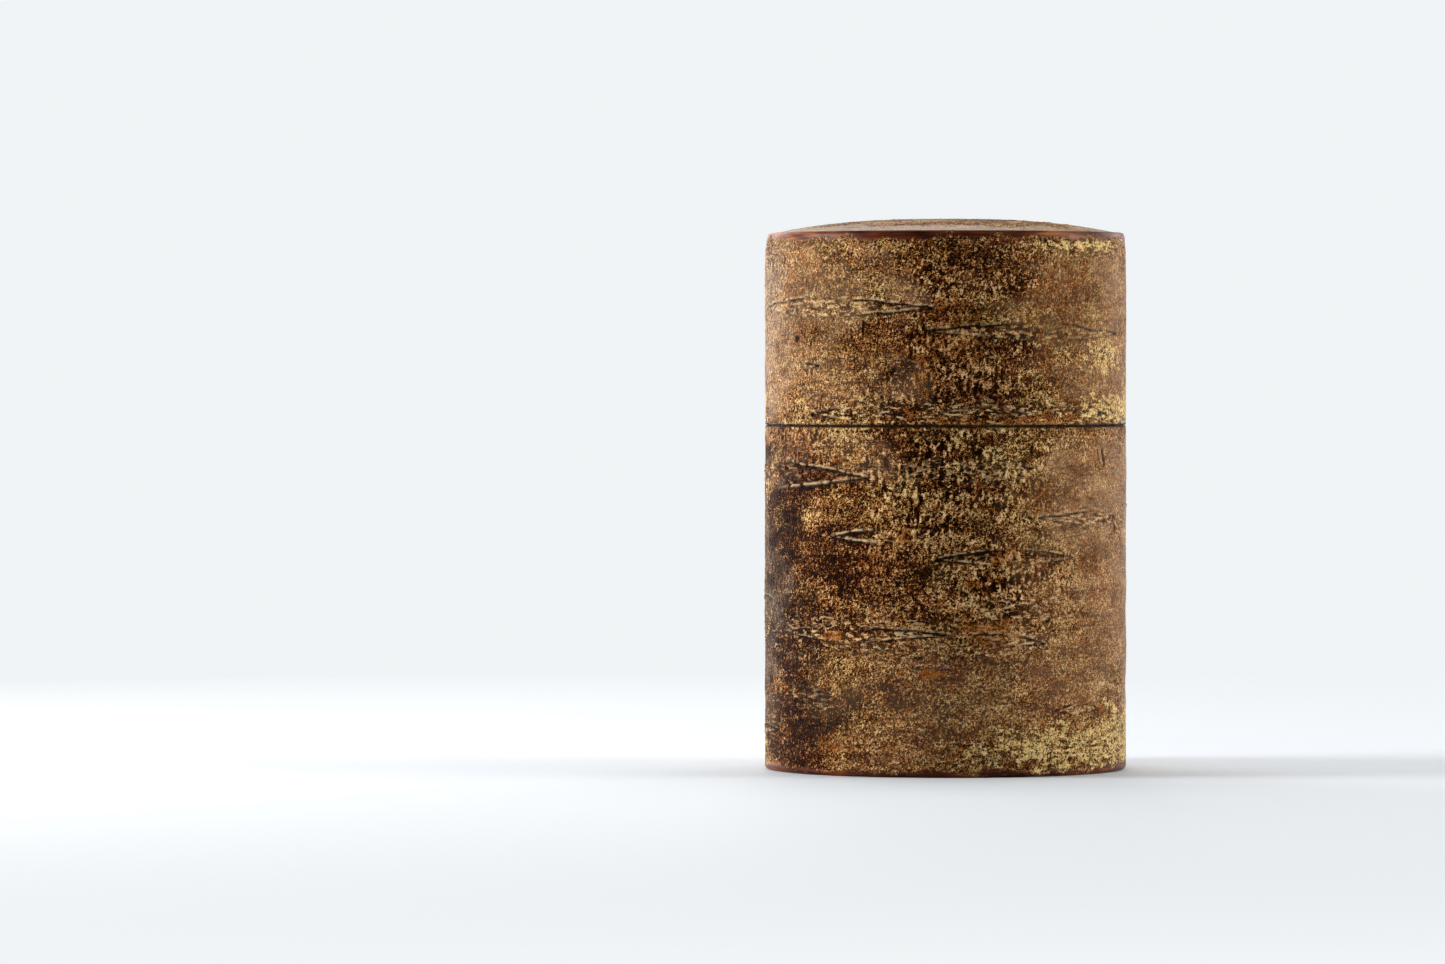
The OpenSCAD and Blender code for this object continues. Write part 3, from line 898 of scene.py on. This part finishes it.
def wound_veneer():
    """Thin veneer wound round and round: rings on the end, fine level grain on the side."""
    look = Look("wound_veneer")
    parts = look.add("SeparateXYZ", {0: look.place}).outputs
    flat = look.add("CombineXYZ", {0: parts[0], 1: parts[1]}).outputs[0]
    radius = look.add("VectorMath", {0: flat}, operation="LENGTH").outputs["Value"]
    wander = look.times(look.noise(6, 2.0), 0.10 * MM)
    turns = look.times(look.sum(radius, wander), 2 * math.pi / (PLY * MM))
    plies = look.add("Math", {0: turns, 1: 0.0}, operation="SINE").outputs[0]
    line = look.fit(plies, 0.55, 1.0)
    fibre = look.noise(0.35, 3.0, 0.6, (10, 10, 1))
    colour = look.ramp(
        fibre, (0.3, rgb(156, 116, 74)), (0.5, rgb(188, 148, 100)), (0.7, rgb(212, 176, 128)))
    look.give("Base Color", look.mix(look.times(line, 0.65), colour, rgb(104, 66, 36)))
    look.give("Roughness", look.fit(fibre, 0.3, 0.7, 0.55, 0.7))
    look.bump(look.less(fibre, look.times(line, 0.6)), 0.05, 0.7)
    return look.material


def board_wood():
    """Plain pale wood with straight grain along X."""
    look = Look("board_wood")
    grain_lines = look.noise(1.4, 4.0, 0.6, (14, 1, 1))
    open_pores = look.noise(0.3, 2.0, 0.5, (12, 1, 1))
    colour = look.ramp(
        grain_lines, (0.3, rgb(164, 124, 80)), (0.5, rgb(194, 156, 108)), (0.7, rgb(214, 182, 136)))
    pores = look.fit(open_pores, 0.62, 0.72, 0, 0.6)
    look.give("Base Color", look.mix(pores, colour, rgb(120, 82, 48)))
    look.give("Roughness", look.fit(grain_lines, 0.3, 0.7, 0.5, 0.66))
    look.bump(look.less(grain_lines, look.times(open_pores, 0.4)), 0.05, 0.7)
    return look.material


# ---- Pieces ----

def bark_pieces():
    """The three sheets of bark that show from outside."""
    sheet = natural_bark("natural_bark", SHEET_SHEEN, SHEET_GLOSS)
    dome_sheet = natural_bark("dome_bark", DOME_SHEEN, DOME_GLOSS)
    round_bark, top_bark = sleeve_bark(), disc_bark()
    for bark in (round_bark, top_bark):
        bark.edge_noise = 0.8 * bark.noise(8, 3) + 0.6 * bark.noise(2.4, 1.4, 0.5)
        bark.form = bark.noise(14, 9)
    body, lid = sleeve(round_bark, body_profile()), sleeve(round_bark, lid_profile())
    make_piece("body_bark_sheet", body, sheet, "body", "body_bark")
    make_piece("lid_bark_sheet", lid, sheet, "lid", "lid_bark")
    make_piece("lid_top_bark_sheet", domed_top(top_bark), dome_sheet, "lid", "lid_top_bark")


def finish_nodes():
    """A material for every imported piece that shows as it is."""
    finishes = {
        polished_bark(): (
            "neck_sheath", "base_bark", "inner_lid_face", "inner_lid_edge_strip", "inner_lid_knob"),
        lining_bark(): ("body_lining", "floor_lining", "lid_lining", "lid_ceiling", "inner_lid_back"),
        wound_veneer(): ("body_core", "neck_core", "lid_core"),
        board_wood(): ("base_board", "lid_top_board", "inner_lid_board"),
    }
    for material, nodes in finishes.items():
        for node in nodes:
            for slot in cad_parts[node].material_slots:
                slot.material = material


# ---- Studio ----

# Places and sizes from here on are in metres.
BACKGROUND = rgb(240, 244, 246)
FLOOR_R = 8
FLOOR_FADE = (0.15, 0.55)             # the floor turns into the background between these radii
ROOM_DARK, ROOM_PALE = 0.05, 0.7      # light from the room, in front and behind
ROOM_SWEEP = (-0.1, 0.9)              # it grows between these, where -1 is front and 1 is back
CAMERA_AT = (-0.0506, -1.728, 0.0907)
CAMERA_PITCH = -0.85                  # degrees
LENS, SENSOR = 189.7, 36              # mm

# Softboxes: name, place, size, power in watts.
SOFTBOXES = [
    ("key_left", (-1.0, -0.10, 0.34), 0.4, 16),
    ("fill_right", (1.0, -0.10, 0.35), 0.5, 10.3),
    ("overhead", (0.0, 0.3, 1.3), 0.9, 5),
    ("behind", (-0.3, 1.3, 0.5), 0.8, 4),
    ("rim_left", (-0.75, 0.8, 0.35), 0.8, 7),
    ("rim_right", (0.75, 0.8, 0.30), 0.7, 4),
]


def floor():
    """A pale disc that fades into the background's colour far from the caddy."""
    bpy.ops.mesh.primitive_circle_add(vertices=128, radius=FLOOR_R, fill_type="NGON")
    ground = bpy.context.object
    ground.name = "floor"
    look = Look("floor")
    radius = look.add("VectorMath", {0: look.place}, operation="LENGTH").outputs["Value"]
    look.give("Base Color", rgb(203, 207, 211))
    look.give("Roughness", 0.7)
    glow = look.add("Emission", {"Color": BACKGROUND, "Strength": 1.0}).outputs[0]
    fade = look.fit(radius, *FLOOR_FADE)
    blend = look.add("MixShader", {0: fade, 1: look.shader.outputs[0], 2: glow}).outputs[0]
    look.put(look.tree.nodes["Material Output"].inputs["Surface"], blend)
    ground.data.materials.append(look.material)


def softbox(name, place, size, power):
    """A square area light that faces the caddy's middle."""
    data = bpy.data.lights.new(name, "AREA")
    data.shape = "SQUARE"
    data.size = size
    data.energy = power
    lamp = bpy.data.objects.new(name, data)
    lamp.location = place
    lamp.visible_camera = False
    aim = Vector((0, 0, RIM_Z / 2 * MM)) - Vector(place)
    lamp.rotation_euler = aim.to_track_quat("-Z", "Y").to_euler()
    bpy.context.scene.collection.objects.link(lamp)


def studio():
    """Pale background for the camera. The light comes from a room that is dark in front and
    pale behind, and from the softboxes."""
    world = bpy.data.worlds.new("studio")
    world.use_nodes = True
    nodes, links = world.node_tree.nodes, world.node_tree.links
    sky = nodes["Background"]
    sky.inputs["Color"].default_value = BACKGROUND
    sky.inputs["Strength"].default_value = 1.0
    room = nodes.new("ShaderNodeBackground")
    room.inputs["Color"].default_value = BACKGROUND
    where = nodes.new("ShaderNodeTexCoord")
    parts = nodes.new("ShaderNodeSeparateXYZ")
    sweep = nodes.new("ShaderNodeMapRange")
    links.new(where.outputs["Generated"], parts.inputs[0])
    links.new(parts.outputs["Y"], sweep.inputs[0])
    for index, value in enumerate((*ROOM_SWEEP, ROOM_DARK, ROOM_PALE), start=1):
        sweep.inputs[index].default_value = value
    links.new(sweep.outputs[0], room.inputs["Strength"])
    seen = nodes.new("ShaderNodeLightPath")
    blend = nodes.new("ShaderNodeMixShader")
    links.new(seen.outputs["Is Camera Ray"], blend.inputs[0])
    links.new(room.outputs[0], blend.inputs[1])
    links.new(sky.outputs[0], blend.inputs[2])
    links.new(blend.outputs[0], nodes["World Output"].inputs["Surface"])
    bpy.context.scene.world = world
    for box in SOFTBOXES:
        softbox(*box)


def camera():
    """The camera, set where the photo's view was matched."""
    data = bpy.data.cameras.new("camera")
    data.lens = LENS
    data.sensor_width = SENSOR
    view = bpy.data.objects.new("camera", data)
    view.location = CAMERA_AT
    view.rotation_euler = (math.radians(90 + CAMERA_PITCH), 0, 0)
    bpy.context.scene.collection.objects.link(view)
    bpy.context.scene.camera = view


bpy.context.scene.view_settings.view_transform = "Standard"
camera()
studio()
floor()
bark_pieces()
finish_nodes()
